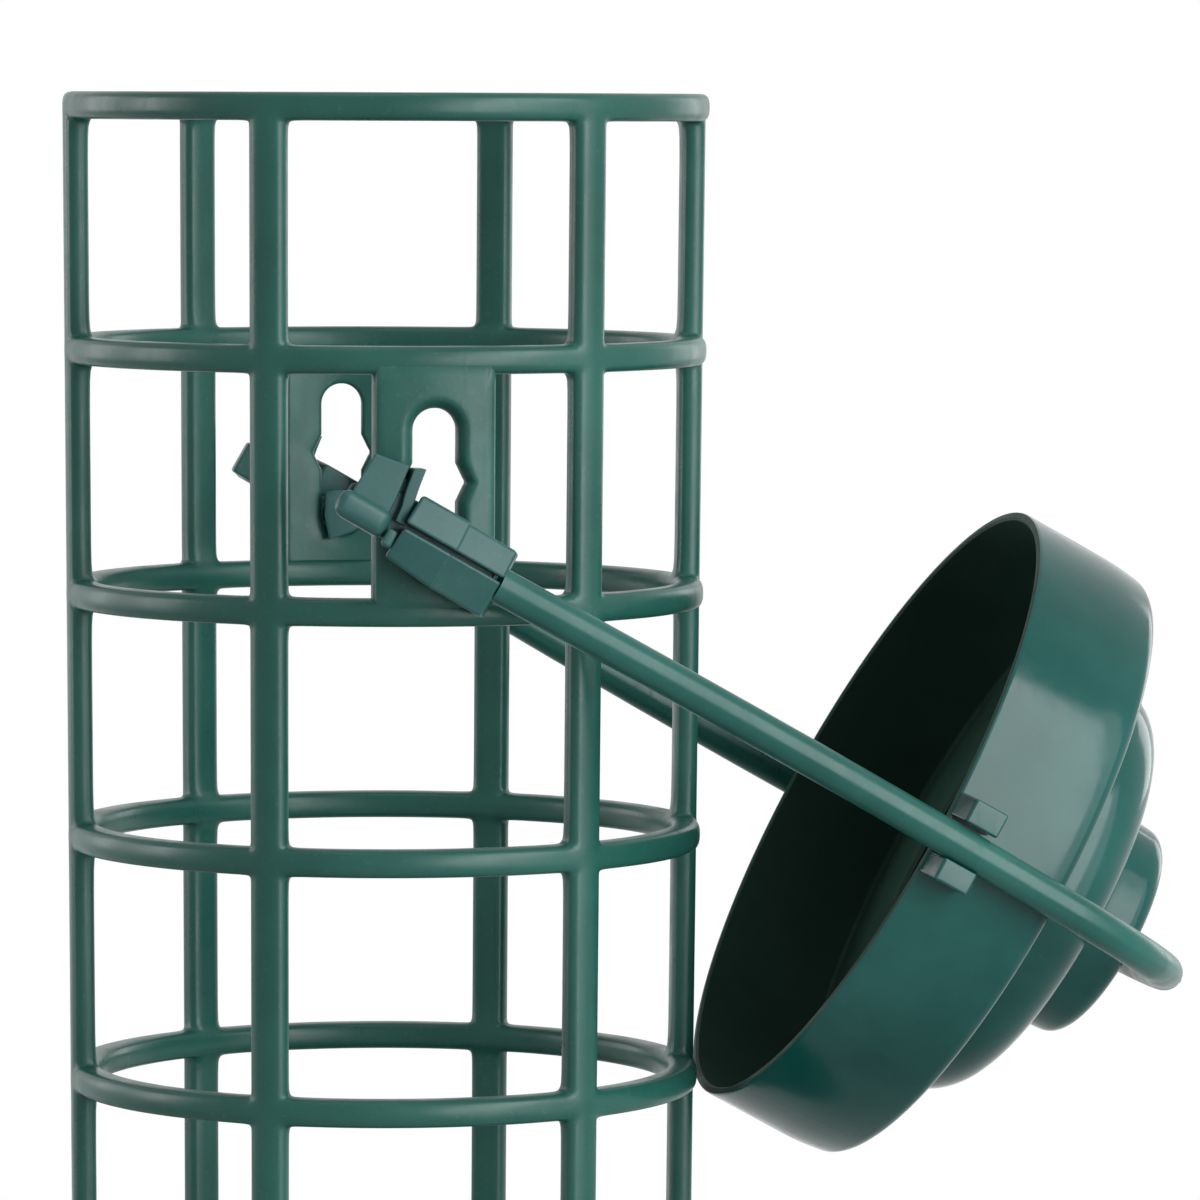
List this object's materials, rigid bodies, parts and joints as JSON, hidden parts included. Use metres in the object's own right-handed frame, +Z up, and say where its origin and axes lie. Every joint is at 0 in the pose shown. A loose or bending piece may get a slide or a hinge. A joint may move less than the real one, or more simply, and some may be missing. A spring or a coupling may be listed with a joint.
{
  "type": "fat ball feeder",
  "caption": "Round plastic cage bird feeder for fat balls, with a hollow lid that slides on a folding bail handle and keyhole pivots.",
  "frame": {"origin": "centre of the floor underside, on the cage axis", "axes": "+Z up along the cage, -Y towards the front keyhole plate, +X to the side the handle is folded to"},
  "size_m": [0.152, 0.1006, 0.1998],
  "materials": {
    "cage_green": "semi-gloss moulded dark green",
    "handle_green": "semi-gloss moulded dark green",
    "lid_green": "glossy moulded dark green"
  },
  "bodies": {
    "cage": {"top_rim": "cage_green", "hoop_2": "cage_green", "hoop_3": "cage_green", "hoop_4": "cage_green", "hoop_5": "cage_green", "hoop_6": "cage_green", "bottom_hoop": "cage_green", "bar_1": "cage_green", "bar_2": "cage_green", "bar_3": "cage_green", "bar_4": "cage_green", "bar_5": "cage_green", "bar_6": "cage_green", "front_pivot_plate": "cage_green", "rear_pivot_plate": "cage_green", "floor_grate": "cage_green"},
    "pivot_pegs": {"front_pivot_peg": "handle_green", "rear_pivot_peg": "handle_green"},
    "handle": {"handle_bail": "handle_green", "front_leg_end": "handle_green", "rear_leg_end": "handle_green", "front_key_head": "handle_green", "rear_key_head": "handle_green"},
    "lid": {"lid_cap": "lid_green", "lid_knob": "lid_green", "front_guide_lugs": "lid_green", "rear_guide_lugs": "lid_green"}
  },
  "joints": [
    {"name": "peg_lift", "type": "slide", "parent": "cage", "child": "pivot_pegs", "axis": [0, 0, 1], "range_m": [0, 0.0155]},
    {"name": "handle_swing", "type": "hinge", "parent": "pivot_pegs", "child": "handle", "pos_m": [0, 0, 0.1408], "axis": [0, -1, 0], "range_deg": [0, 239.6]},
    {"name": "lid_slide", "type": "slide", "parent": "handle", "child": "lid", "axis": [0.8678, 0, -0.497], "range_m": [0, 0.002]}
  ]
}
